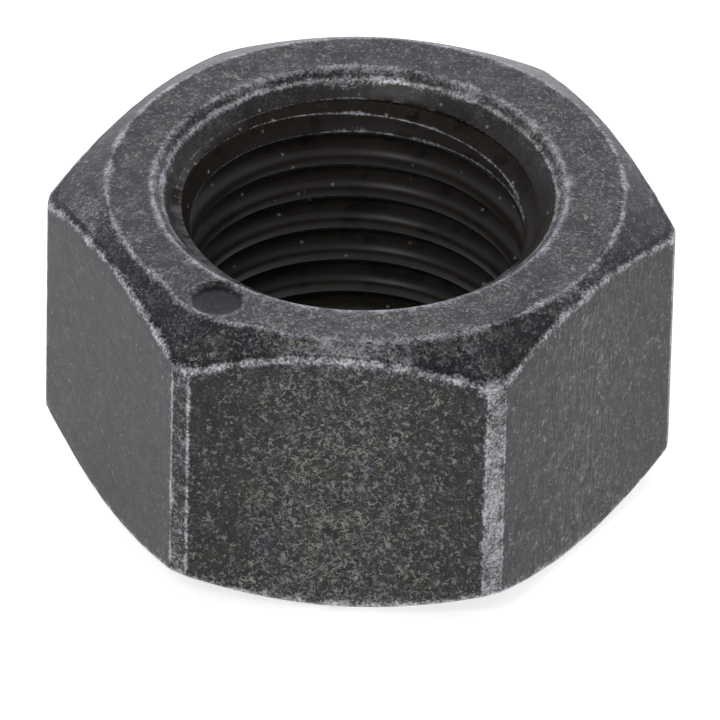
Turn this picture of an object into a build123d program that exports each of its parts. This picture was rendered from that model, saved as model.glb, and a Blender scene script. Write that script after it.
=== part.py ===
from build123d import *
from build123d.topology import SkipClean
import os
from math import cos, radians, sin, sqrt, tan

# Fine-pitch metric hexagon nut: M14 x 1.5, right-hand thread, 21 mm spanner size.
# The real nut is one forged and tapped piece of steel, so it is one solid in one node.
# Millimetres. +Z is the thread axis, and the origin is the centre of the lower bearing face.
# The front flat faces -Y, and two of the six corners lie on the X axis.

# Driving dimensions of the hexagon
across_flats = 21.0
height = 12.4
corner_break = 0.21           # how far each sharp corner of the hexagon is cut back
bearing_inset = 0.7           # from a flat's middle in to the edge of the bearing ring
chamfer_angle = 32.0          # of both end chamfers, from the bearing face

# Driving dimensions of the tapped hole
thread_diameter = 14.0
thread_pitch = 1.5
minor_allowance = 0.06        # how far the crests stand back from the basic thread, on the radius
root_flat_share = 0.125       # width of the groove's floor, as a share of the pitch (60 degree thread)
groove_height_over_x = 0.546  # height at which the groove's middle first crosses the +X side
countersink_angle = 80.0      # included angle
countersink_clearance = 0.47  # from the thread's full radius out to the countersink's rim
lip_width = 0.38              # of the small bevel between the rim and the bearing ring
lip_depth = 0.29
wall_sectors = 8              # arcs that each turn of the bore wall is divided into

# Driving dimensions of the punched dot on the upper bearing ring
dot_diameter = 1.9
dot_depth = 0.25
dot_angle = -123.7            # round the thread axis, from +X

# Worked out from the sizes above
corner_radius = across_flats / 2 / cos(radians(30)) - corner_break
bearing_radius = across_flats / 2 - bearing_inset
sharp_thread_height = sqrt(3) / 2 * thread_pitch
thread_radius = thread_diameter / 2
minor_radius = thread_radius - 5 / 8 * sharp_thread_height + minor_allowance
rim_radius = thread_radius + countersink_clearance
lip_radius = rim_radius + lip_width
dot_radius = (lip_radius + bearing_radius) / 2
overrun = 1.0                 # how far the end cuts reach past the nut
groove_overrun = 0.2          # how far the groove's cut reaches in past the crests


def mirrored_top(profile):
    """The same profile at the upper end, as its mirror image about the nut's middle plane."""
    return mirror(profile, about=Plane.XY.offset(height / 2))


def hexagon():
    """The prism, with each of its corners cut back to one cylinder about the thread axis."""
    prism = extrude(RegularPolygon(across_flats / 2, 6, major_radius=False), height)
    return prism & Cylinder(corner_radius, height, align=(Align.CENTER, Align.CENTER, Align.MIN))


def end_chamfer():
    """What the lower chamfer takes off: all that lies outside a cone on the bearing ring's edge."""
    reach = corner_radius + overrun
    rise = (reach - bearing_radius) * tan(radians(chamfer_angle))
    corners = [(bearing_radius, 0), (reach, 0), (reach, rise)]
    outline = Plane.XZ * make_face(Polyline(*corners, close=True))
    return revolve(outline, Axis.Z)


def end_countersink():
    """What the lower countersink takes off: the small lip bevel, then the cone down to the crests."""
    depth = (rim_radius - minor_radius) / tan(radians(countersink_angle / 2))
    slope = lip_width / lip_depth
    corners = [
        (0, -overrun),
        (lip_radius + slope * overrun, -overrun),
        (rim_radius, lip_depth),
        (minor_radius, lip_depth + depth),
        (0, lip_depth + depth),
    ]
    outline = Plane.XZ * make_face(Polyline(*corners, close=True))
    return revolve(outline, Axis.Z)


def bore_sector(index):
    """One pie-shaped piece of the bore at the minor diameter, from end to end."""
    arc = 360 / wall_sectors
    piece = Cylinder(minor_radius, height, arc_size=arc, align=(None, None, Align.MIN))
    return Rot(0, 0, index * arc) * piece


def groove_turn(turn):
    """One turn of the groove between the crests: a 60 degree trapezoid on a right-hand helix."""
    inner_radius = minor_radius - groove_overrun
    half_floor = root_flat_share * thread_pitch / 2
    half_mouth = half_floor + (thread_radius - inner_radius) * tan(radians(30))
    start = groove_height_over_x + turn * thread_pitch
    corners = [
        (thread_radius, start - half_floor),
        (thread_radius, start + half_floor),
        (inner_radius, start + half_mouth),
        (inner_radius, start - half_mouth),
    ]
    section = Plane.XZ * make_face(Polyline(*corners, close=True))
    path = Helix(thread_pitch, thread_pitch, thread_radius, center=(0, 0, start))
    return sweep(section, path, is_frenet=True)


def punched_dot():
    """The ball that leaves the round dimple in the upper bearing ring."""
    ball_radius = ((dot_diameter / 2) ** 2 + dot_depth**2) / (2 * dot_depth)
    across = dot_radius * cos(radians(dot_angle))
    along = dot_radius * sin(radians(dot_angle))
    return Pos(across, along, height - dot_depth + ball_radius) * Sphere(ball_radius)


def nut_body():
    """The whole nut. The bore wall stays divided into short arcs, so the faces aren't merged."""
    body = hexagon()
    body -= end_chamfer()
    body -= mirrored_top(end_chamfer())
    body -= punched_dot()
    with SkipClean():
        for index in range(wall_sectors):
            body -= bore_sector(index)
        body -= end_countersink()
        body -= mirrored_top(end_countersink())
        for turn in range(-1, int(height / thread_pitch) + 2):
            body -= groove_turn(turn)
    return body


if __name__ == "__main__":
    os.makedirs("parts", exist_ok=True)
    nut = nut_body()
    export_step(nut, "parts/nut_body.step")
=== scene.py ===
"""A blackened hexagon nut: its worn body with a right-hand thread, and the stage it stands on.

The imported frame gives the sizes. One closed surface, worked out with numpy, stands for the CAD
solid nut_body and adds what use gave the real nut: rounded edges, blunt thread crests, a cut-down
first crest under the countersink, a punch mark with a raised brim, and a hexagon and end faces a
little off the thread axis. Lengths are in metres.
"""

from math import cos, pi, radians, sin

import bpy
import numpy as np
from bpy.props import FloatProperty, FloatVectorProperty, PointerProperty
from mathutils import Matrix, Vector


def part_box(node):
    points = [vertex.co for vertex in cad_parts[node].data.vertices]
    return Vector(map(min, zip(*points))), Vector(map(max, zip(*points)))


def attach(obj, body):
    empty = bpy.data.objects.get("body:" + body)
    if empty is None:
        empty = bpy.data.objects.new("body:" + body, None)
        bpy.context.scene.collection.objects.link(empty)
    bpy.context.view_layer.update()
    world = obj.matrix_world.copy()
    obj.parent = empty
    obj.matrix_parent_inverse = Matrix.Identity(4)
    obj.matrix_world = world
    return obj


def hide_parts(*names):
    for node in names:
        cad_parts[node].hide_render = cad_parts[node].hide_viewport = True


bl_info = {
    "name": "Blackened Hex Nut",
    "version": (1, 0, 0),
    "blender": (4, 5, 0),
    "location": "3D View > Sidebar > Hex Nut",
    "description": "Builds a worn, blackened hexagon nut and its stage around the packed frame",
    "category": "Object",
}

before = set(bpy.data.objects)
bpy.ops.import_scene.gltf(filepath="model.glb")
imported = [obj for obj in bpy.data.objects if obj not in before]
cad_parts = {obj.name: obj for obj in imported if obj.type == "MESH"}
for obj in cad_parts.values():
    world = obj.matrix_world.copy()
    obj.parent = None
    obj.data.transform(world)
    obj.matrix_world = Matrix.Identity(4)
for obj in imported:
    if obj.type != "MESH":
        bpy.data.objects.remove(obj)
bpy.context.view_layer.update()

MM = 0.001
NODE = "nut_body"

# Stands for "not near that edge" in the distances to edges.
FAR = 3 * MM

# An edge that turns by more than this is shaded as an edge.
SHARP_ANGLE = radians(38)

# Which finish each stretch of the surface has: 0 rolled flats, 1 turned faces, 2 oiled bore.
FINISH_OF = {"flat": 0, "chamfer": 1, "ring": 1, "lip": 2}

# The Mix node's colour sockets share their names with its number ones, so they go by place.
MIX_A = 6
MIX_B = 7
MIX_RESULT = 2

# Kinds of node that the finishes use most, and the smooth setting of a Map Range node.
ATTRIBUTE = "ShaderNodeAttribute"
NOISE = "ShaderNodeTexNoise"
MATHS = "ShaderNodeMath"
RANGE = "ShaderNodeMapRange"
SMOOTH = {"interpolation_type": "SMOOTHSTEP"}


def linear(hex_colour):
    """sRGB hex such as '3a3a3c' to linear red, green and blue."""
    parts = [int(hex_colour[i:i + 2], 16) / 255 for i in (0, 2, 4)]
    return tuple(p / 12.92 if p <= 0.04045 else ((p + 0.055) / 1.055) ** 2.4 for p in parts)


def length(name, default, description):
    """A length property in metres."""
    return FloatProperty(name=name, description=description, default=default,
                         precision=5, subtype="DISTANCE", unit="LENGTH")


def angle(name, default, description):
    """An angle property, given here in degrees."""
    return FloatProperty(name=name, description=description, default=radians(default),
                         subtype="ANGLE", unit="ROTATION")


def shift(name, default, description):
    """A sideways offset in the plane of the end faces."""
    return FloatVectorProperty(name=name, description=description, default=default, size=2,
                               precision=5, subtype="XYZ", unit="LENGTH")


def colour(name, hex_colour, description):
    """A colour property, given here as sRGB hex."""
    return FloatVectorProperty(name=name, description=description, default=linear(hex_colour),
                               size=3, min=0.0, max=1.0, subtype="COLOR")


def amount(name, default, description):
    """A plain number property."""
    return FloatProperty(name=name, description=description, default=default)


# ---------------------------------------------------------------- sizes and colours

low_corner, high_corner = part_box(NODE)


class NutBodySizes(bpy.types.PropertyGroup):
    """The outside of the nut."""

    across_flats: length("Across Flats", high_corner.y - low_corner.y, "Spanner size")
    corner_radius: length("Corner Radius", high_corner.x, "Radius of the blunt corners")
    height: length("Height", high_corner.z, "Height between the two end faces")
    bearing_radius: length("Bearing Radius", 9.8 * MM, "Outer radius of the flat end face")
    chamfer_angle: angle("Chamfer Angle", 32.66, "Slope of the corner chamfer")
    hexagon_shift: shift("Hexagon Shift", (0.09 * MM, 0.006 * MM), "Hexagon off the thread axis")
    turning_shift: shift("Turning Shift", (0.235 * MM, 0.016 * MM), "End faces off the thread axis")
    edge_wear: length("Edge Wear", 0.15 * MM, "How far an edge is rounded over, on average")


class NutBoreSizes(bpy.types.PropertyGroup):
    """The countersinks and the thread."""

    lip_radius: length("Lip Radius", 7.85 * MM, "Bore mouth on the end face")
    rim_radius: length("Rim Radius", 7.47 * MM, "Countersink just under its lip")
    lip_depth: length("Lip Depth", 0.29 * MM, "Depth of the lip bevel")
    countersink_angle: angle("Countersink Angle", 80.0, "Full angle of the countersink cone")
    step_depth: length("Step Depth", 0.56 * MM, "Countersink depth under its rim")
    cut_radius: length("Cut Radius", 6.74 * MM, "Radius of the worn first crest under the step")
    cut_slope: amount("Cut Slope", 0.45, "Narrowing of the worn first crest with depth")
    pitch: length("Pitch", 1.5 * MM, "Rise of the thread in one turn")
    crest_radius: length("Crest Radius", 6.25 * MM, "Bore radius at the thread crests")
    groove_radius: length("Groove Radius", 7.0 * MM, "Bore radius at the groove floor")
    start_height: length("Start Height", -0.204 * MM, "Height of a crest on the +X side")


class NutMarkSizes(bpy.types.PropertyGroup):
    """The round punch mark on the upper end face."""

    angle: angle("Angle", -121.8, "Direction of the mark from the thread axis")
    distance: length("Distance", 8.97 * MM, "Mark centre from the thread axis")
    diameter: length("Diameter", 2.1 * MM, "Width of the mark")
    depth: length("Depth", 0.2 * MM, "Depth of the mark")
    bulge: length("Bulge", 0.45 * MM, "How far the mark pushes the end face edge outwards")


class NutFinishes(bpy.types.PropertyGroup):
    """Colours of the blackened and the bare steel."""

    oxide_black: colour("Oxide Black", "08080a", "Deepest tone of the blackened skin")
    oxide_blue: colour("Oxide Blue", "111218", "Bluish patches of the blackened skin")
    oxide_olive: colour("Oxide Olive", "14140f", "Olive patches of the blackened skin")
    oxide_brown: colour("Oxide Brown", "17120d", "Brown patches of the blackened skin")
    bare_steel: colour("Bare Steel", "c4c6c8", "Steel where the black is rubbed off")
    warm_film: colour("Warm Film", "918f82", "Pale dry film in scuffs, warm patches")
    cool_film: colour("Cool Film", "898b8c", "Pale dry film in scuffs, cool patches")
    oiled_black: colour("Oiled Black", "2a2620", "Oily skin inside the thread")


class NutStageSettings(bpy.types.PropertyGroup):
    """Floor, light and camera."""

    floor_colour: colour("Floor Colour", "f2f2f2", "Plain pale floor")
    floor_glow: amount("Floor Glow", 0.7, "Light from the lit table under the floor")
    sky_colour: colour("Sky Colour", "f5f3ff", "Tint of the soft studio walls")
    sky_strength: amount("Sky Strength", 1.5, "Brightness of the soft studio walls")
    roof_strength: amount("Roof Strength", 0.36, "Brightness of the studio roof")
    front_share: amount("Front Share", 0.45, "Brightness of the front wall against the back one")
    side_share: amount("Side Share", 0.5, "Brightness of the side walls against the back one")
    key_power: amount("Key Power", 0.4, "Power of the small front light, in watts")
    camera_azimuth: angle("Camera Azimuth", 3.913, "Camera direction round the nut")
    camera_elevation: angle("Camera Elevation", 36.455, "Camera height above the floor")
    camera_roll: angle("Camera Roll", 1.27, "Camera turned about its own axis")
    camera_distance: length("Camera Distance", 630 * MM, "Camera to target")
    camera_lens: amount("Camera Lens", 827.0, "Focal length in millimetres")
    target_height: length("Target Height", 4.289 * MM, "Height of the aimed point")
    target_side: length("Target Side", 0.16 * MM, "Aimed point to the right of the axis")


# ---------------------------------------------------------------- curves and rows of points

def directions(theta):
    """Unit vectors at the angles theta, as an array of x and y."""
    return np.stack([np.cos(theta), np.sin(theta)], axis=-1)


def on_ray(theta, radius, height):
    """Points at a radius and a height along the rays theta from the thread axis."""
    flat = directions(theta) * np.broadcast_to(radius, theta.shape)[:, None]
    tall = np.broadcast_to(height, theta.shape)[:, None]
    return np.concatenate([flat, tall], axis=1)


def ray_to_circle(theta, centre, radius):
    """Distance along each ray to a circle: c.u + sqrt(r^2 - c.c + (c.u)^2)."""
    along = directions(theta) @ np.asarray(centre)
    return along + np.sqrt(radius ** 2 - np.dot(centre, centre) + along ** 2)


def ripple(theta, seed, waves=24):
    """Smooth noise round the nut, -1 to 1: a sum of seeded sines, the slowest being the strongest."""
    source = np.random.default_rng(seed)
    counts = source.integers(3, 90, waves)
    phases = source.uniform(0, 2 * pi, waves)
    weights = 1 / np.sqrt(counts)
    total = (weights * np.sin(np.outer(theta, counts) + phases)).sum(axis=1)
    return total / np.abs(total).max()


def bend(before, corner, after, reach, steps):
    """A corner rounded over: quadratic Bezier between the points a reach before and after it."""
    back = before - corner
    ahead = after - corner
    start = corner + back * (reach / np.linalg.norm(back, axis=1))[:, None]
    end = corner + ahead * (reach / np.linalg.norm(ahead, axis=1))[:, None]
    t = np.linspace(0, 1, steps)[:, None, None]
    return (1 - t) ** 2 * start + 2 * t * (1 - t) * corner + t ** 2 * end


def run(start, end, steps):
    """Evenly spaced rows strictly between two rows."""
    t = (np.arange(1, steps + 1) / (steps + 1))[:, None, None]
    return start + t * (end - start)


# ---------------------------------------------------------------- wear round the nut

def lobes(theta, places):
    """Sum of soft bumps round the nut; each place is an angle, a half width and a gain."""
    total = np.zeros_like(theta)
    for place, spread, gain in places:
        away = np.degrees(np.angle(np.exp(1j * (theta - radians(place)))))
        total += gain * np.exp(-(away / spread) ** 2)
    return total


def rubbing(theta):
    """How hard the edges are rubbed round the nut, about 1 on average."""
    corners = [(-60, 5, 0.9), (-120, 4, 0.4), (-86, 16, 0.4), (60, 5, 0.4), (180, 4, 0.2)]
    return 0.9 + lobes(theta, corners) + 0.3 * ripple(theta, 31)


def rubbing_and_painted_glints_inside(theta):
    """How hard the edges in the bore are rubbed round the nut; its peaks near 97 and 72 degrees also put
    painted glints, as bare steel, along the first crests.
    """
    return 0.45 + lobes(theta, [(97, 9, 0.9), (72, 7, 0.5), (180, 30, 0.4)]) + 0.1 * ripple(theta, 37)


def bluntness(theta):
    """How far the narrow faces of the blunt corners are rubbed, 0 to 1."""
    places = [(-60, 8, 0.8), (-120, 8, 0.22), (0, 8, 0.4), (60, 8, 0.7), (180, 8, 0.5)]
    return lobes(theta, places)


def battering(theta):
    """Where the upper chamfer is battered down to pale steel, 0 to 1."""
    return lobes(theta, [(-88, 12, 0.95), (192, 9, 0.7), (-33, 9, 0.5), (75, 20, 0.3)])


def streaked(theta, labels):
    """How much of the upright fine streaks each point shows, 0 to 1: only some of the flats."""
    sides = lobes(theta, [(-30, 27, 1.0), (90, 27, 0.6), (150, 27, 0.8)])
    return np.where(labels[:, None] == "flat", sides, 0)


def scuffs(theta, labels, points, body):
    """How scuffed each point is, 0 to 1: by flat on the sides, by direction on the ends.

    The flat that faces 210 degrees is smooth.
    """
    flats = [(-90, 27, 1.0), (-30, 27, 0.45), (30, 27, 0.5), (90, 27, 0.8), (150, 27, 0.45)]
    level = points[..., 2] / body.height
    sides = lobes(theta, flats) * (1.1 - 0.25 * level)
    ring = 0.45 + lobes(theta, [(0, 40, 0.15), (120, 40, 0.1), (-90, 35, 0.4)])
    chamfer = 0.25 + lobes(theta, [(-90, 16, 0.8), (192, 12, 0.5), (-33, 12, 0.4), (75, 30, 0.2)])
    labels = labels[:, None]
    chosen = np.where(labels == "flat", sides, np.where(labels == "chamfer", chamfer, ring))
    return np.clip(chosen, 0, 1)


# ---------------------------------------------------------------- shape of the nut

def hexagon_outline(sizes, mark_angle):
    """Directions, points and distance inside the flat's border, round the blunt hexagon.

    Radius at the angle a is the softened smaller of apothem / cos(a - nearest flat) and the
    corner radius, about the hexagon's own centre. Columns crowd at the corners and beside the
    punch mark.
    """
    near_corner = np.array([0.0, 0.5, 1.0, 1.45, 1.8, 2.15, 2.6, 3.3])
    between = np.linspace(near_corner[-1], 60 - near_corner[-1], 42)[1:-1]
    sector = np.concatenate([near_corner, between, 60 - near_corner[:0:-1]])
    degrees = np.concatenate([sector + 60 * k for k in range(6)])
    beside_mark = np.degrees(mark_angle) % 360 + np.linspace(-8, 8, 33)
    degrees = np.unique(np.round(np.concatenate([degrees, beside_mark]), 2))
    own = np.radians(degrees)
    to_flat = np.radians((degrees % 60) - 30)
    flat = sizes.across_flats / 2 / np.cos(to_flat)
    softness = 0.03 * MM
    gap = flat - sizes.corner_radius
    radius = (flat + sizes.corner_radius - np.sqrt(gap ** 2 + softness ** 2)) / 2
    points = directions(own) * radius[:, None] + np.array(sizes.hexagon_shift)
    theta = np.arctan2(points[:, 1], points[:, 0]) % (2 * pi)
    order = np.argsort(theta)
    half_flat = np.sqrt(sizes.corner_radius ** 2 - (sizes.across_flats / 2) ** 2)
    along_flat = np.abs(radius * np.sin(to_flat))
    return theta[order], points[order], (half_flat - along_flat)[order]


def ring_edges(body, mark, theta):
    """Radius of the end face edge along each ray, plain and pushed out beside the punch mark."""
    from_mark = np.angle(np.exp(1j * (theta - mark.angle))) * mark.distance
    bulge = mark.bulge * np.exp(-(from_mark / (0.75 * mark.diameter)) ** 4)
    plain = ray_to_circle(theta, np.array(body.turning_shift), body.bearing_radius)
    return plain, plain + bulge


def chamfer_drop(body, outline):
    """How far the chamfer falls from the end face to the outline.

    tan(chamfer angle) times the distance outside the bearing radius, about the turning centre.
    """
    beyond = np.linalg.norm(outline - np.array(body.turning_shift), axis=1) - body.bearing_radius
    return beyond * np.tan(body.chamfer_angle)


def end_rows(body, bore, theta, outline, ring_edge, upper):
    """Labelled rows of one end, from the bore rim over the ring and the chamfer down the flats.

    A lip bevel, a flat ring and the chamfer's cone, with every edge bent over.
    """
    def at(depth):
        return body.height - depth if upper else depth

    end = 1 if upper else -1
    wear = body.edge_wear
    radius = np.linalg.norm(outline, axis=1)
    rim = on_ray(theta, bore.rim_radius, at(bore.lip_depth))
    lip = on_ray(theta, bore.lip_radius, at(0))
    edge = on_ray(theta, ring_edge, at(0))
    brow = on_ray(theta, radius, at(chamfer_drop(body, outline)))
    middle = on_ray(theta, radius, body.height / 2)
    lip_bend = bend(rim, lip, edge, wear * (0.55 + 0.2 * ripple(theta, 3 + end)), 4)
    edge_bend = bend(lip, edge, brow, wear * (0.9 + 0.35 * ripple(theta, 13 + end)), 5)
    brow_bend = bend(edge, brow, middle, wear * (1.1 + 0.45 * ripple(theta, 23 + end)), 5)
    return [
        ("lip", rim[None]),
        ("lip", run(rim, lip_bend[0], 1)),
        ("ring", lip_bend),
        ("ring", run(lip_bend[-1], edge_bend[0], 22 if upper else 8)),
        ("chamfer", edge_bend),
        ("chamfer", run(edge_bend[-1], brow_bend[0], 6)),
        ("flat", brow_bend),
        ("flat", run(brow_bend[-1], middle, 6)),
    ]


def outside_rows(body, bore, mark, theta, outline):
    """Rows of the outside, from the upper bore rim over the flats to the lower one, and their labels."""
    ring_plain, ring_pushed = ring_edges(body, mark, theta)
    upper = end_rows(body, bore, theta, outline, ring_pushed, upper=True)
    middle = on_ray(theta, np.linalg.norm(outline, axis=1), body.height / 2)
    lower = end_rows(body, bore, theta, outline, ring_plain, upper=False)
    upwards = [(label, rows[::-1]) for label, rows in reversed(lower)]
    blocks = [*upper, ("flat", middle[None]), *upwards]
    labels = np.concatenate([[label] * len(rows) for label, rows in blocks])
    return np.concatenate([rows for label, rows in blocks]), labels


def punch(points, body, mark):
    """Presses the round mark into the upper end face and returns each point's distance in mark radii.

    A dish with a flat floor, -depth / (1 + exp((distance - wall) / softness)), and a bell-shaped brim
    round it.
    """
    wall = 0.88
    softness = 0.05
    brim_height = 0.035 * MM
    brim_middle = 1.12
    brim_width = 0.16
    centre = mark.distance * directions(np.array(mark.angle))
    distance = np.linalg.norm(points[..., :2] - centre, axis=-1) / (mark.diameter / 2)
    on_top = points[..., 2] > body.height - 0.12 * MM
    dish = -mark.depth / (1 + np.exp((distance - wall) / softness))
    brim = brim_height * np.exp(-((distance - brim_middle) / brim_width) ** 2)
    points[..., 2] += np.where(on_top, dish + np.minimum(brim, body.height - points[..., 2]), 0)
    return distance


def thread_profile(bore):
    """One pitch of the thread as heights above the crest centre and radii.

    A crest land, a rubbed upper shoulder, an upper flank, a groove floor and a lower flank,
    with each corner rounded over by a quadratic Bezier and a row halfway down each flank.
    """
    blunt = 0.18 * (bore.groove_radius - bore.crest_radius)

    # Heights are shares of the pitch, from a crest land of a quarter to a narrow groove floor.
    corners = np.array([
        (-0.149 * bore.pitch, bore.crest_radius),
        (0.091 * bore.pitch, bore.crest_radius),
        (0.225 * bore.pitch, bore.crest_radius + blunt),
        (0.463 * bore.pitch, bore.groove_radius),
        (0.563 * bore.pitch, bore.groove_radius),
    ])
    before = np.roll(corners, 1, axis=0)
    before[0, 0] -= bore.pitch
    after = np.roll(corners, -1, axis=0)
    after[-1, 0] += bore.pitch
    reach = np.array([0.05, 0.1, 0.12, 0.06, 0.06]) * MM
    bent = bend(before, corners, after, reach, 3)
    halfway = (bent[-1] + np.concatenate([bent[0, 1:], bent[0, :1] + (bore.pitch, 0)])) / 2
    rows = np.concatenate([bent, halfway[None]]).transpose(1, 0, 2)
    on_flank = np.array([False, False, True, False, True])
    kept = np.ones(rows.shape[:2], dtype=bool)
    kept[:, -1] = on_flank
    return rows[kept]


def countersink(bore, under_rim, step_depth):
    """Radius of the countersink at a depth under its rim.

    A cone down to the step, then the steeper worn face of the first, cut-down thread crest.
    """
    cone = bore.rim_radius - np.tan(bore.countersink_angle / 2) * under_rim
    worn = bore.cut_radius - bore.cut_slope * (under_rim - bore.step_depth)
    return np.where(under_rim <= step_depth, cone, worn)


def thread_radius(bore, profile, above_lead):
    """Radius of the thread at a height above its lead: the profile, repeated every pitch."""
    heights = np.append(profile[:, 0], profile[0, 0] + bore.pitch)
    radii = np.append(profile[:, 1], profile[0, 1])
    return np.interp((above_lead - heights[0]) % bore.pitch + heights[0], heights, radii)


def snap_to_step(z, target):
    """Moves the row just above and the row just below a height onto the two sides of a step."""
    above = np.argmax(z > target, axis=0)
    columns = np.arange(z.shape[1])
    z[above, columns] = target
    z[above - 1, columns] = target - 0.02 * MM


def snap_to_meeting(z, surplus, kept):
    """Moves the nearer row onto each height where surplus passes zero, except between kept rows."""
    crosses = (surplus[:-1] * surplus[1:] < 0) & ~kept
    share = np.divide(surplus[:-1], surplus[:-1] - surplus[1:], out=np.zeros_like(z[1:]), where=crosses)
    meeting = z[:-1] + share * (z[1:] - z[:-1])
    z[:-1] = np.where(crosses & (share < 0.5), meeting, z[:-1])
    z[1:] = np.where(crosses & (share >= 0.5), meeting, z[1:])


def bore_rows(body, bore, theta):
    """Rows of the bore from its lower rim to its upper one, along the helix, and their finish numbers.

    A row's height is start + turn * pitch + profile height + pitch * angle / 2 pi, held between
    the rims. Its radius is the larger of the thread profile and the two countersinks; the rows
    nearest to a countersink's step, and to where it meets the thread, are moved onto them.
    """
    profile = thread_profile(bore)
    low = bore.lip_depth
    high = body.height - bore.lip_depth
    turns = int(np.ceil((high - bore.start_height - profile[0, 0]) / bore.pitch)) + 1
    rise = (np.arange(-1, turns - 1)[:, None] * bore.pitch + profile[:, 0]).ravel()
    lead = bore.start_height + bore.pitch * theta / (2 * pi)
    z = rise[:, None] + lead

    # The step lies deeper on the +X side.
    step_depth = bore.step_depth + lobes(theta, [(0, 60, 0.36 * MM)])
    snap_to_step(z, high - step_depth)
    snap_to_step(z, low + step_depth)

    def under_rim(level):
        return np.minimum(level - low, high - level)

    def cone(level):
        return countersink(bore, under_rim(level), step_depth)

    def thread(level):
        return thread_radius(bore, profile, level - lead)

    beside = np.abs(under_rim(z) - step_depth) < 0.03 * MM
    snap_to_meeting(z, cone(z) - thread(z), beside[1:] & beside[:-1])
    touch = 0.015 * MM
    at_bottom = z < low + touch
    at_top = z > high - touch
    z = np.clip(z, low, high)
    radius = np.maximum(thread(z), cone(z))
    xy = directions(theta)[None] * radius[..., None]
    points = np.concatenate([xy, z[..., None]], axis=2)

    under_step = under_rim(z) - step_depth
    step = np.hypot(under_step, radius - countersink(bore, step_depth, step_depth))
    cut = np.abs(cone(z) - thread(z)) + np.where(np.abs(under_step) < 0.04 * MM, FAR, 0)
    in_groove = np.clip((radius - bore.crest_radius) / (0.3 * MM), 0, 1)
    first_turns = np.clip(under_step / (0.05 * MM), 0, 1) * np.clip(1.8 - under_step / MM, 0, 1)
    measures = {
        "oil": np.clip((bore.rim_radius - 0.1 * MM - radius) / (0.55 * MM), 0, 1),
        # The groove amount below is painted shade: it dulls the gloss in the grooves of the first turns
        # under the step.
        "painted_groove_shade": in_groove * first_turns,
        "scuff": 0.1,
        # In the bore this rubbing also places painted glints: bare steel lines along the cut crest edges.
        "rub_and_glint": rubbing_and_painted_glints_inside(theta),
        "lip_distance": bore.lip_radius - radius,
        "rim_distance": bore.rim_radius - radius,
        "step_distance": step,
        "cut_distance": cut,
        "mark_distance": 3.0,
    }
    return points, at_bottom, at_top, len(profile), measures


# ---------------------------------------------------------------- meshes

def quads_to_triangles(points, quads):
    """Splits each quad on its shorter diagonal and drops triangles that use a point twice."""
    a, b, c, d = quads.T
    ac = np.linalg.norm(points[a] - points[c], axis=1)
    bd = np.linalg.norm(points[b] - points[d], axis=1)
    split = (ac <= bd)[:, None]
    first = np.where(split, np.stack([a, b, c], 1), np.stack([a, b, d], 1))
    second = np.where(split, np.stack([a, c, d], 1), np.stack([b, c, d], 1))
    both = np.stack([first, second], 1)
    keep = (both[..., 0] != both[..., 1]) & (both[..., 1] != both[..., 2]) & (both[..., 0] != both[..., 2])
    return both, keep


def strip_of_quads(left, right):
    """Quads between two neighbouring columns of point numbers, facing out of the steel."""
    return np.stack([left[:-1], left[1:], right[1:], right[:-1]], axis=-1)


def fill_mesh(name, points, triangles):
    """A mesh from arrays, shaded smooth except across its sharp edges."""
    mesh = bpy.data.meshes.new(name)
    mesh.vertices.add(len(points))
    mesh.vertices.foreach_set("co", points.astype(np.float32).ravel())
    mesh.loops.add(triangles.size)
    mesh.loops.foreach_set("vertex_index", triangles.astype(np.int32).ravel())
    mesh.polygons.add(len(triangles))
    mesh.polygons.foreach_set("loop_start", np.arange(0, triangles.size, 3, dtype=np.int32))
    mesh.polygons.foreach_set("use_smooth", np.ones(len(triangles), dtype=bool))
    mesh.update(calc_edges=True)
    mesh.set_sharp_from_angle(angle=SHARP_ANGLE)
    return mesh


def add_attribute(mesh, name, values):
    """A number on each point, read by the finishes."""
    layer = mesh.attributes.new(name, "FLOAT", "POINT")
    layer.data.foreach_set("value", np.ascontiguousarray(values, dtype=np.float32))


def put_in_scene(mesh):
    """An object at the origin, unturned and unscaled."""
    made = bpy.data.objects.new(mesh.name, mesh)
    bpy.context.scene.collection.objects.link(made)
    return made


def outside_measures(body, bore, mark, hexagon, outside, labels, from_mark):
    """Distances from each outside point to each kind of edge, and its finish numbers."""
    theta, outline, from_strip = hexagon
    ring_plain, ring_pushed = ring_edges(body, mark, theta)
    radius = np.linalg.norm(outside[..., :2], axis=2)
    from_end = np.minimum(outside[..., 2], body.height - outside[..., 2])
    is_flat = (labels == "flat")[:, None]
    on_chamfer = (labels == "chamfer")[:, None]
    upper_half = outside[..., 2] > body.height / 2
    inside_outline = np.linalg.norm(outline, axis=1) - radius
    ring_edge = np.where(upper_half, ring_pushed, ring_plain)
    from_brow = from_end - chamfer_drop(body, outline)
    blunt = np.where(is_flat & (from_strip < 0), 0.3 * MM * (1 - bluntness(theta)), FAR)
    blunt = np.where(on_chamfer & upper_half, 0.35 * MM * (1 - battering(theta)), blunt)
    return {
        "scuff": scuffs(theta, labels, outside, body),
        "rub_and_glint": rubbing(theta),
        "streak": streaked(theta, labels),
        "brow_distance": np.maximum(from_brow, inside_outline / np.cos(body.chamfer_angle)),
        "ring_distance": np.where(is_flat, FAR, np.abs(radius - ring_edge)),
        "lip_distance": np.where(is_flat, FAR, np.abs(radius - bore.lip_radius)),
        "rim_distance": np.where(is_flat, FAR, np.abs(radius - bore.rim_radius)),
        "strip_distance": np.where(is_flat, from_strip, FAR),
        "blunt_distance": blunt,
        "brim_distance": np.abs(from_mark - 1.1) * mark.diameter / 2,
        "mark_distance": from_mark,
    }


def join_measures(outer, inner, outer_shape, inner_shape):
    """Each attribute over both grids; where one side lacks it, a distance is far and an amount is 0."""
    joined = {}
    for name in {**outer, **inner}:
        missing = FAR if name.endswith("_distance") else 0.0
        outer_values = np.broadcast_to(outer.get(name, missing), outer_shape)
        inner_values = np.broadcast_to(inner.get(name, missing), inner_shape)
        joined[name] = np.concatenate([outer_values, inner_values])
    return joined


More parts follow.
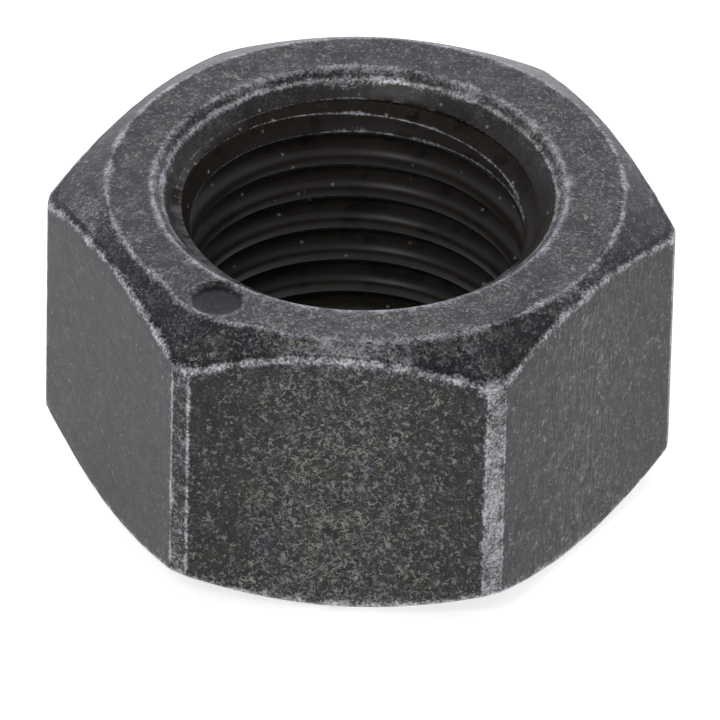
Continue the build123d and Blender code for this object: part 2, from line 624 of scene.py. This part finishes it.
def join_quads(outer_shape, inner_shape, at_bottom, at_top, rows_per_pitch):
    """Quads of both grids; the bore's first and last rows use the point numbers of the two rims.

    After a full turn a bore row goes on as the row one pitch higher.
    """
    outer_count = outer_shape[0] * outer_shape[1]
    inner_count = inner_shape[0] * inner_shape[1]
    outer = np.arange(outer_count).reshape(outer_shape)
    inner = outer_count + np.arange(inner_count).reshape(inner_shape)
    inner = np.where(at_bottom, outer[-1], inner)
    inner = np.where(at_top, outer[0], inner)
    upper_rim = np.full((rows_per_pitch, 1), outer[0, 0])
    seam = np.concatenate([inner[rows_per_pitch:, :1], upper_rim])
    outer_quads = strip_of_quads(outer, np.roll(outer, -1, axis=1))
    inner_quads = strip_of_quads(inner, np.concatenate([inner[:, 1:], seam], axis=1))
    return outer_quads.reshape(-1, 4), inner_quads.reshape(-1, 4)


def nut_surface(body, bore, mark):
    """The whole nut as one closed surface, with its edge distances and finish numbers."""
    hexagon = hexagon_outline(body, mark.angle)
    theta, outline, _ = hexagon
    outside, labels = outside_rows(body, bore, mark, theta, outline)
    from_mark = punch(outside, body, mark)
    inside, at_bottom, at_top, rows_per_pitch, inner = bore_rows(body, bore, theta)
    outer = outside_measures(body, bore, mark, hexagon, outside, labels, from_mark)
    outer_shape = outside.shape[:2]
    inner_shape = inside.shape[:2]
    measures = join_measures(outer, inner, outer_shape, inner_shape)

    points = np.concatenate([outside.reshape(-1, 3), inside.reshape(-1, 3)])
    outer_quads, inner_quads = join_quads(outer_shape, inner_shape, at_bottom, at_top, rows_per_pitch)
    both, keep = quads_to_triangles(points, np.concatenate([outer_quads, inner_quads]))
    row_finish = np.array([FINISH_OF[label] for label in labels])
    outer_finish = np.where(row_finish[:-1] == FINISH_OF["flat"], FINISH_OF["flat"], row_finish[1:])
    outer_finish = np.repeat(outer_finish, len(theta))
    inner_finish = np.full(len(inner_quads), FINISH_OF["lip"])
    finish = np.repeat(np.concatenate([outer_finish, inner_finish])[:, None], 2, axis=1)

    used, compact = np.unique(both[keep], return_inverse=True)
    mesh = fill_mesh("nut_worn_body", points[used], compact.reshape(-1, 3))
    mesh.polygons.foreach_set("material_index", finish[keep].astype(np.int32))
    for name, values in measures.items():
        add_attribute(mesh, name, values.ravel()[used])
    return mesh


# ---------------------------------------------------------------- finishes

def add(tree, kind, links=None, out=None, **settings):
    """Adds a node with its settings and returns it, or its output named by out.

    links gives an input a number, a colour or another node's output.
    """
    made = tree.nodes.new(kind)
    for name, value in settings.items():
        setattr(made, name, value)
    for name, value in (links or {}).items():
        socket = made.inputs[name]
        if isinstance(value, bpy.types.NodeSocket):
            tree.links.new(value, socket)
        else:
            socket.default_value = value
    return made if out is None else made.outputs[out]


def per(size):
    """Noise scale that gives features of that size, in metres."""
    return 1 / size


def new_finish(name):
    """An empty node material."""
    material = bpy.data.materials.new(name)
    material.use_nodes = True
    material.node_tree.nodes.clear()
    return material


def skin_patches(tree, place, look):
    """Soft patches that run through the tones of the black skin."""
    cloud = add(tree, NOISE, {"Vector": place, "Scale": per(look["patch"]), "Detail": 4.0,
                              "Roughness": 0.6}, out="Fac")
    ramp = add(tree, "ShaderNodeValToRGB", {"Fac": cloud})
    stops = ramp.color_ramp.elements
    tones = look["tones"]
    while len(stops) < len(tones):
        stops.new(0.5)
    for index, tone in enumerate(tones):
        stops[index].position = 0.36 + 0.28 * index / (len(tones) - 1)
        stops[index].color = (*tone, 1.0)
    return ramp.outputs["Color"]


def curly_flecks(tree, place, scuff, size, width):
    """Short curly strokes: where a warped noise passes its middle, broken up by a second noise."""
    waves = add(tree, NOISE, {"Vector": place, "Scale": per(size), "Detail": 2.0, "Roughness": 0.55,
                              "Distortion": 0.6}, out="Fac")
    level = add(tree, MATHS, {0: waves, 1: 0.5}, out=0, operation="SUBTRACT")
    away = add(tree, MATHS, {0: level}, out=0, operation="ABSOLUTE")
    line = add(tree, RANGE, {"Value": away, "From Min": width, "From Max": 0.3 * width},
               out="Result", **SMOOTH)
    breaks = add(tree, NOISE, {"Vector": place, "Scale": per(0.63 * size), "Detail": 2.0,
                               "Roughness": 0.6}, out="Fac")
    gate = add(tree, MATHS, {0: scuff, 1: 0.2, 2: breaks}, out=0, operation="MULTIPLY_ADD")
    shown = add(tree, RANGE, {"Value": gate, "From Min": 0.58, "From Max": 0.76}, out="Result", **SMOOTH)
    return add(tree, MATHS, {0: line, 1: shown}, out=0, operation="MULTIPLY")


def pale_specks(tree, place, size, share):
    """Small round specks, one in a share of the cells of a Voronoi pattern."""
    cells = add(tree, "ShaderNodeTexVoronoi", {"Vector": place, "Scale": per(size)})
    chosen = add(tree, MATHS, {0: cells.outputs["Color"], 1: share}, out=0, operation="LESS_THAN")
    dot = add(tree, RANGE, {"Value": cells.outputs["Distance"], "From Min": 0.2, "From Max": 0.06},
              out="Result", **SMOOTH)
    return add(tree, MATHS, {0: dot, 1: chosen}, out=0, operation="MULTIPLY")


def upright_streaks(tree, place):
    """Fine upright streaks: a noise stretched along Z, of which only the peaks show."""
    stretched = add(tree, "ShaderNodeMapping", {"Vector": place, "Scale": (1.0, 1.0, 0.14)}, out=0)
    fine = add(tree, NOISE, {"Vector": stretched, "Scale": per(0.09 * MM), "Detail": 2.0,
                             "Roughness": 0.6}, out="Fac")
    lines = add(tree, RANGE, {"Value": fine, "From Min": 0.45, "From Max": 0.75}, out="Result", **SMOOTH)
    shown = add(tree, ATTRIBUTE, out="Fac", attribute_name="streak")
    return add(tree, MATHS, {0: lines, 1: shown}, out=0, operation="MULTIPLY")


def edge_wear(tree, place, edges):
    """Where edges are rubbed through: noise less the distance to an edge, with a grainy strength.

    Each edge is an attribute, the width that is rubbed where the attribute of rubbing is 1, and a strength;
    in the bore that attribute also places painted glints.
    """
    wander_gain = 2.6
    ragged_gain = 1.8
    wander = add(tree, NOISE, {"Vector": place, "Scale": per(0.8 * MM), "Detail": 3.0, "Roughness": 0.65},
                 out="Fac")
    ragged = add(tree, NOISE, {"Vector": place, "Scale": per(0.11 * MM), "Detail": 2.0, "Roughness": 0.6},
                 out="Fac")
    middle = -0.5 * (wander_gain + ragged_gain)
    rough = add(tree, MATHS, {0: ragged, 1: ragged_gain, 2: middle}, out=0, operation="MULTIPLY_ADD")
    spread = add(tree, MATHS, {0: wander, 1: wander_gain, 2: rough}, out=0, operation="MULTIPLY_ADD")
    rub_and_glint = add(tree, ATTRIBUTE, out="Fac", attribute_name="rub_and_glint")
    worn = 0.0
    for key, width, strength in edges:
        distance = add(tree, ATTRIBUTE, out="Fac", attribute_name=key)
        reach = add(tree, MATHS, {0: rub_and_glint, 1: width}, out=0, operation="MULTIPLY")
        away = add(tree, MATHS, {0: distance}, out=0, operation="ABSOLUTE")
        near = add(tree, MATHS, {0: away, 1: reach}, out=0, operation="DIVIDE")
        level = add(tree, MATHS, {0: spread, 1: near}, out=0, operation="SUBTRACT")
        edge = add(tree, RANGE, {"Value": level, "From Min": -0.9, "From Max": 0.5, "To Max": strength},
                   out="Result", **SMOOTH)
        worn = add(tree, MATHS, {0: edge, 1: worn}, out=0, operation="MAXIMUM")
    grain = add(tree, RANGE, {"Value": ragged, "From Min": 0.3, "From Max": 0.6, "To Min": 0.3},
                out="Result")
    return add(tree, MATHS, {0: worn, 1: grain}, out=0, operation="MULTIPLY")


def dry_film(tree, place, scuff, look):
    """A thin pale film in clouds, with a fine grain, thicker where the face is scuffed."""
    cloud = add(tree, NOISE, {"Vector": place, "Scale": per(0.7 * MM), "Detail": 4.0, "Roughness": 0.65},
                out="Fac")
    fine = add(tree, NOISE, {"Vector": place, "Scale": per(0.1 * MM), "Detail": 2.0, "Roughness": 0.65},
               out="Fac")
    lifted = add(tree, MATHS, {0: scuff, 1: 0.12, 2: fine}, out=0, operation="MULTIPLY_ADD")
    level = add(tree, MATHS, {0: cloud, 1: lifted}, out=0, operation="ADD")
    return add(tree, RANGE, {"Value": level, "From Min": 1.0, "From Max": 1.4,
                             "To Max": look["film_strength"]}, out="Result")


def scuff_marks(tree, place, scuff, look):
    """Curly flecks in two sizes, faded from place to place, with round specks and upright streaks."""
    coarse = curly_flecks(tree, place, scuff, 0.52 * MM, 0.036)
    fine = curly_flecks(tree, place, scuff, 0.27 * MM, 0.055)
    flecks = add(tree, MATHS, {0: coarse, 1: fine}, out=0, operation="MAXIMUM")
    uneven = add(tree, NOISE, {"Vector": place, "Scale": per(0.45 * MM), "Detail": 3.0, "Roughness": 0.7},
                 out="Fac")
    strength = look["fleck_strength"]
    faded = add(tree, RANGE, {"Value": uneven, "From Min": 0.36, "From Max": 0.64,
                              "To Min": 0.4 * strength, "To Max": 1.2 * strength}, out="Result")
    flecks = add(tree, MATHS, {0: flecks, 1: faded}, out=0, operation="MULTIPLY")
    specks = pale_specks(tree, place, look["speck"], look["speck_share"])
    specks = add(tree, MATHS, {0: specks, 1: look["speck_strength"], 2: flecks}, out=0,
                 operation="MULTIPLY_ADD")
    return add(tree, MATHS, {0: upright_streaks(tree, place), 1: 0.3, 2: specks}, out=0,
               operation="MULTIPLY_ADD")


def pale_film(tree, place, unmarked, look):
    """How much dry film covers the skin, 0 to 1; oil hides it in the bore, where stray dust sits."""
    scuff = add(tree, ATTRIBUTE, out="Fac", attribute_name="scuff")
    marks = scuff_marks(tree, place, scuff, look)
    film = add(tree, MATHS, {0: marks, 1: dry_film(tree, place, scuff, look)}, out=0, operation="ADD")
    film = add(tree, MATHS, {0: film, 1: unmarked}, out=0, operation="MULTIPLY", use_clamp=True)
    if look["oily"]:
        oil = add(tree, ATTRIBUTE, out="Fac", attribute_name="oil")
        dry = add(tree, RANGE, {"Value": oil, "To Min": 1.0, "To Max": 0.06}, out="Result")
        film = add(tree, MATHS, {0: film, 1: dry}, out=0, operation="MULTIPLY")
        dust = pale_specks(tree, place, 0.5 * MM, 0.35)
        film = add(tree, MATHS, {0: dust, 1: 0.9, 2: film}, out=0, operation="MULTIPLY_ADD",
                   use_clamp=True)
    return film


def film_tint(tree, place, settings):
    """Colour of the dry film, cooler and warmer from place to place."""
    cloud = add(tree, NOISE, {"Vector": place, "Scale": per(0.9 * MM), "Detail": 3.0, "Roughness": 0.7},
                out="Fac")
    warmth = add(tree, RANGE, {"Value": cloud, "From Min": 0.4, "From Max": 0.6}, out="Result")
    return add(tree, "ShaderNodeMix", {
        0: warmth, MIX_A: (*settings.cool_film, 1.0), MIX_B: (*settings.warm_film, 1.0)},
        out=MIX_RESULT, data_type="RGBA")


def skin_gloss(tree, unmarked, look):
    """Shine of the skin, about halved in the punch mark and dulled in the grooves of the first turns as
    painted shade.
    """
    gloss = add(tree, RANGE, {"Value": unmarked, "To Min": 0.5 * look["gloss"], "To Max": look["gloss"]},
                out="Result")
    if look["oily"]:
        # Painted shade: in the grooves of the first turns the gloss falls to a fifth.
        painted_groove_shade = add(tree, ATTRIBUTE, out="Fac", attribute_name="painted_groove_shade")
        unshaded = add(tree, RANGE, {"Value": painted_groove_shade, "To Min": 1.0, "To Max": 0.2}, out="Result")
        gloss = add(tree, MATHS, {0: gloss, 1: unshaded}, out=0, operation="MULTIPLY")
    return gloss


def blackened(name, settings, look):
    """Blackened steel: a thin black oxide skin over a rolled or turned surface, rubbed through at edges.

    The skin is a dark, faintly glossy mineral layer with soft patches of blue, olive and brown.
    A dry grey film lies on it in clouds and in short curly flecks, warmer and cooler from place
    to place; rubbed edges show pale steel with a ragged, grainy border. look holds the sizes,
    tones and strengths of these patterns.
    """
    material = new_finish(name)
    tree = material.node_tree
    place = add(tree, "ShaderNodeTexCoord", out="Object")

    # The punch mark keeps its smooth black skin inside a rubbed brim.
    mark = add(tree, ATTRIBUTE, out="Fac", attribute_name="mark_distance")
    unmarked = add(tree, RANGE, {"Value": mark, "From Min": 0.82, "From Max": 0.95, "To Min": 0.12},
                   out="Result")
    film = pale_film(tree, place, unmarked, look)
    worn = edge_wear(tree, place, look["edges"])
    covered = add(tree, "ShaderNodeMix", {
        0: film, MIX_A: skin_patches(tree, place, look), MIX_B: film_tint(tree, place, settings)},
        out=MIX_RESULT, data_type="RGBA")
    shown = add(tree, "ShaderNodeMix", {
        0: worn, MIX_A: covered, MIX_B: (*settings.bare_steel, 1.0)},
        out=MIX_RESULT, data_type="RGBA")
    metal = add(tree, MATHS, {0: worn, 1: look["metal"]}, out=0, operation="MULTIPLY")
    relief = add(tree, NOISE, {"Vector": place, "Scale": per(0.14 * MM), "Detail": 3.0,
                               "Roughness": 0.7}, out="Fac")
    patchy = look["patchy"]
    rough = add(tree, MATHS, {0: relief, 1: patchy, 2: look["roughness"] - patchy / 2}, out=0,
                operation="MULTIPLY_ADD")
    bump = add(tree, "ShaderNodeBump", {
        "Height": relief, "Distance": look["relief"], "Strength": 1.0}, out="Normal")
    shader = add(tree, "ShaderNodeBsdfPrincipled", {
        "Base Color": shown, "Metallic": metal, "Roughness": rough,
        "Specular IOR Level": skin_gloss(tree, unmarked, look), "Normal": bump}, out="BSDF")
    add(tree, "ShaderNodeOutputMaterial", {"Surface": shader})
    return material


def nut_finishes(settings):
    """The three finishes, in the order of the mesh's finish numbers."""
    black = tuple(settings.oxide_black)
    blue = tuple(settings.oxide_blue)
    olive = tuple(settings.oxide_olive)
    brown = tuple(settings.oxide_brown)
    oily = tuple(settings.oiled_black)
    brow = ("brow_distance", 0.3 * MM, 1.1)
    lip = ("lip_distance", 0.28 * MM, 0.85)

    # Rolled flats: near black and faintly glossy, with loose flecks and bright, ragged borders.
    flats = {
        "patch": 1.5 * MM, "tones": [black, blue, olive, brown],
        "fleck_strength": 0.62, "film_strength": 0.18,
        "speck": 0.5 * MM, "speck_share": 0.12, "speck_strength": 0.3,
        "edges": [brow, ("strip_distance", 0.1 * MM, 0.9), ("blunt_distance", 0.25 * MM, 0.75)],
        "metal": 0.4, "roughness": 0.42, "patchy": 0.25, "gloss": 0.27, "relief": 0.012 * MM, "oily": False,
    }

    # Turned end faces and chamfers: greyer and shinier, because the cut surface holds more dry film.
    turned = dict(
        flats, tones=[black, blue, blue, olive], fleck_strength=0.95, film_strength=0.5,
        edges=[brow, ("ring_distance", 0.2 * MM, 0.95), lip, ("rim_distance", 0.16 * MM, 1.2),
               ("blunt_distance", 0.25 * MM, 0.7), ("brim_distance", 0.06 * MM, 0.35)],
        roughness=0.4, gloss=0.42,
    )

    # Cut bore: smooth and black with oil, so the thread shows long soft glints and stray dust.
    bore = dict(
        turned, tones=[oily, oily, oily, brown], fleck_strength=0.4,
        # The step and cut edge lines are partly rubbed steel and partly painted glints on the first crests.
        edges=[lip, ("rim_distance", 0.2 * MM, 1.2), ("step_distance", 0.06 * MM, 0.6),
               ("cut_distance", 0.06 * MM, 0.8)],
        roughness=0.38, patchy=0.05, gloss=0.34, relief=0.001 * MM, oily=True,
    )
    return [
        blackened("blackened_rolled_flats", settings, flats),
        blackened("blackened_turned_faces", settings, turned),
        blackened("oiled_cut_bore", settings, bore),
    ]


# ---------------------------------------------------------------- stage

def disc_mesh(name, radius, height, rings=12, spokes=96):
    """A flat disc: radius times ring share along each spoke, closed by a fan at the middle."""
    turn = np.arange(spokes) * 2 * pi / spokes
    share = (np.arange(1, rings + 1) / rings) ** 2
    flat = (share[:, None, None] * radius * directions(turn)[None]).reshape(-1, 2)
    points = np.concatenate([np.zeros((1, 2)), flat])
    points = np.concatenate([points, np.full((len(points), 1), height)], axis=1)
    grid = 1 + np.arange(rings * spokes).reshape(rings, spokes)
    ahead = np.roll(grid, -1, axis=1)
    quads = np.stack([grid[:-1], grid[1:], ahead[1:], ahead[:-1]], axis=-1).reshape(-1, 4)
    both, keep = quads_to_triangles(points, quads)
    fan = np.stack([np.zeros(spokes, int), grid[0], ahead[0]], axis=1)
    return fill_mesh(name, points, np.concatenate([both[keep], fan]))


def make_floor(settings):
    """A plain pale floor, lit from below like a light table, so that shadows on it stay faint, with a
    painted shadow under the nut.
    """
    radius = 3.0
    gap = 0.02 * MM
    floor = put_in_scene(disc_mesh("floor", radius, -gap))
    material = new_finish("pale_floor")
    tree = material.node_tree
    place = add(tree, "ShaderNodeTexCoord", out="Object")
    away = add(tree, "ShaderNodeVectorMath", {0: place}, out="Value", operation="LENGTH")

    # Painted shadow: under the nut the floor's glow falls to six tenths, as if the nut kept the table's
    # light off.
    glow_with_painted_shadow = add(tree, RANGE, {
        "Value": away, "From Min": 9.2 * MM, "From Max": 10.0 * MM,
        "To Min": 0.6 * settings.floor_glow, "To Max": settings.floor_glow}, out="Result")
    shader = add(tree, "ShaderNodeBsdfPrincipled", {
        "Base Color": (*settings.floor_colour, 1.0), "Roughness": 0.9,
        "Emission Color": (1.0, 1.0, 1.0, 1.0), "Emission Strength": glow_with_painted_shadow}, out="BSDF")
    add(tree, "ShaderNodeOutputMaterial", {"Surface": shader})
    floor.data.materials.append(material)


def make_sky(settings):
    """Soft studio walls: bright up to about half height, fading to a dark roof.

    The front wall and the side walls are darker than the back one.
    """
    world = bpy.data.worlds.new("studio")
    bpy.context.scene.world = world
    world.use_nodes = True
    tree = world.node_tree
    tree.nodes.clear()
    place = add(tree, "ShaderNodeTexCoord", out="Generated")
    split = add(tree, "ShaderNodeSeparateXYZ", {"Vector": place})
    level = add(tree, RANGE, {
        "Value": split.outputs["Z"], "From Min": sin(radians(42)), "From Max": sin(radians(66)),
        "To Min": settings.sky_strength, "To Max": settings.roof_strength}, out="Result", **SMOOTH)
    front = add(tree, RANGE, {
        "Value": split.outputs["Y"], "From Min": -0.15, "From Max": -0.6,
        "To Min": 1.0, "To Max": settings.front_share}, out="Result", **SMOOTH)
    sideways = add(tree, MATHS, {0: split.outputs["X"]}, out=0, operation="ABSOLUTE")
    side = add(tree, RANGE, {
        "Value": sideways, "From Min": 0.35, "From Max": 0.65,
        "To Min": 1.0, "To Max": settings.side_share}, out="Result", **SMOOTH)
    walls = add(tree, MATHS, {0: front, 1: side}, out=0, operation="MULTIPLY")
    strength = add(tree, MATHS, {0: level, 1: walls}, out=0, operation="MULTIPLY")
    light = add(tree, "ShaderNodeBackground", {
        "Color": (*settings.sky_colour, 1.0), "Strength": strength}, out="Background")
    add(tree, "ShaderNodeOutputWorld", {"Surface": light})


def make_key_light(settings):
    """A small soft light in front, a little to the left and high, for the glints on crests and edges."""
    data = bpy.data.lights.new("key", "AREA")
    data.shape = "DISK"
    data.size = 0.12
    data.energy = settings.key_power
    data.color = (1.0, 0.97, 0.93)
    lamp = bpy.data.objects.new("key", data)
    bpy.context.scene.collection.objects.link(lamp)
    lamp.location = (-0.12, -0.35, 0.42)
    lamp.rotation_mode = "QUATERNION"
    lamp.rotation_quaternion = (-Vector(lamp.location)).to_track_quat("-Z", "Y")


def make_camera(settings):
    """A long lens, high in front of the nut, rolled a little."""
    turn = settings.camera_azimuth
    rise = settings.camera_elevation
    right = Vector((cos(turn), sin(turn), 0))
    back = Vector((sin(turn) * cos(rise), -cos(turn) * cos(rise), sin(rise)))
    up = back.cross(right)
    roll = settings.camera_roll
    across = cos(roll) * right + sin(roll) * up
    upward = cos(roll) * up - sin(roll) * right
    target = right * settings.target_side + Vector((0, 0, settings.target_height))
    data = bpy.data.cameras.new("camera")
    data.lens = settings.camera_lens
    data.sensor_width = 36.0
    data.clip_start = 0.01
    data.clip_end = 10.0
    camera = bpy.data.objects.new("camera", data)
    bpy.context.scene.collection.objects.link(camera)
    turned = Matrix((across, upward, back)).transposed().to_4x4()
    camera.matrix_world = Matrix.Translation(target + back * settings.camera_distance) @ turned
    bpy.context.scene.camera = camera


# ---------------------------------------------------------------- operators and panel

class MakeNutBody(bpy.types.Operator):
    """Build the worn nut body in place of the CAD solid."""

    bl_idname = "hexnut.make_body"
    bl_label = "Make Nut Body"

    def execute(self, context):
        scene = context.scene
        mesh = nut_surface(scene.nut_body, scene.nut_bore, scene.nut_mark)
        nut = put_in_scene(mesh)
        for material in nut_finishes(scene.nut_finishes):
            mesh.materials.append(material)
        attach(nut, "root")
        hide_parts(NODE)
        return {"FINISHED"}


class MakeStage(bpy.types.Operator):
    """Build the floor, the studio light and the camera."""

    bl_idname = "hexnut.make_stage"
    bl_label = "Make Stage"

    def execute(self, context):
        settings = context.scene.nut_stage
        make_floor(settings)
        make_sky(settings)
        make_key_light(settings)
        make_camera(settings)
        context.scene.view_settings.view_transform = "Standard"
        return {"FINISHED"}


class HexNutPanel(bpy.types.Panel):
    """Sizes, finishes and stage of the hex nut."""

    bl_idname = "VIEW3D_PT_hex_nut"
    bl_label = "Hex Nut"
    bl_space_type = "VIEW_3D"
    bl_region_type = "UI"
    bl_category = "Hex Nut"

    def draw(self, context):
        for group in GROUPS:
            box = self.layout.box()
            box.label(text=group.replace("_", " ").title())
            settings = getattr(context.scene, group)
            for name in settings.__annotations__:
                box.prop(settings, name)
        for operator in (MakeNutBody, MakeStage):
            self.layout.operator(operator.bl_idname)


GROUPS = {
    "nut_body": NutBodySizes,
    "nut_bore": NutBoreSizes,
    "nut_mark": NutMarkSizes,
    "nut_finishes": NutFinishes,
    "nut_stage": NutStageSettings,
}
CLASSES = (*GROUPS.values(), MakeNutBody, MakeStage, HexNutPanel)


def register():
    """Register the classes and hang one group of settings on the scene for each."""
    for made in CLASSES:
        bpy.utils.register_class(made)
    for name, group in GROUPS.items():
        setattr(bpy.types.Scene, name, PointerProperty(type=group))


def unregister():
    """Take the settings and the classes away again."""
    for name in GROUPS:
        delattr(bpy.types.Scene, name)
    for made in reversed(CLASSES):
        bpy.utils.unregister_class(made)


def main():
    """Build everything."""
    register()
    bpy.ops.hexnut.make_body()
    bpy.ops.hexnut.make_stage()


if __name__ == "__main__":
    main()
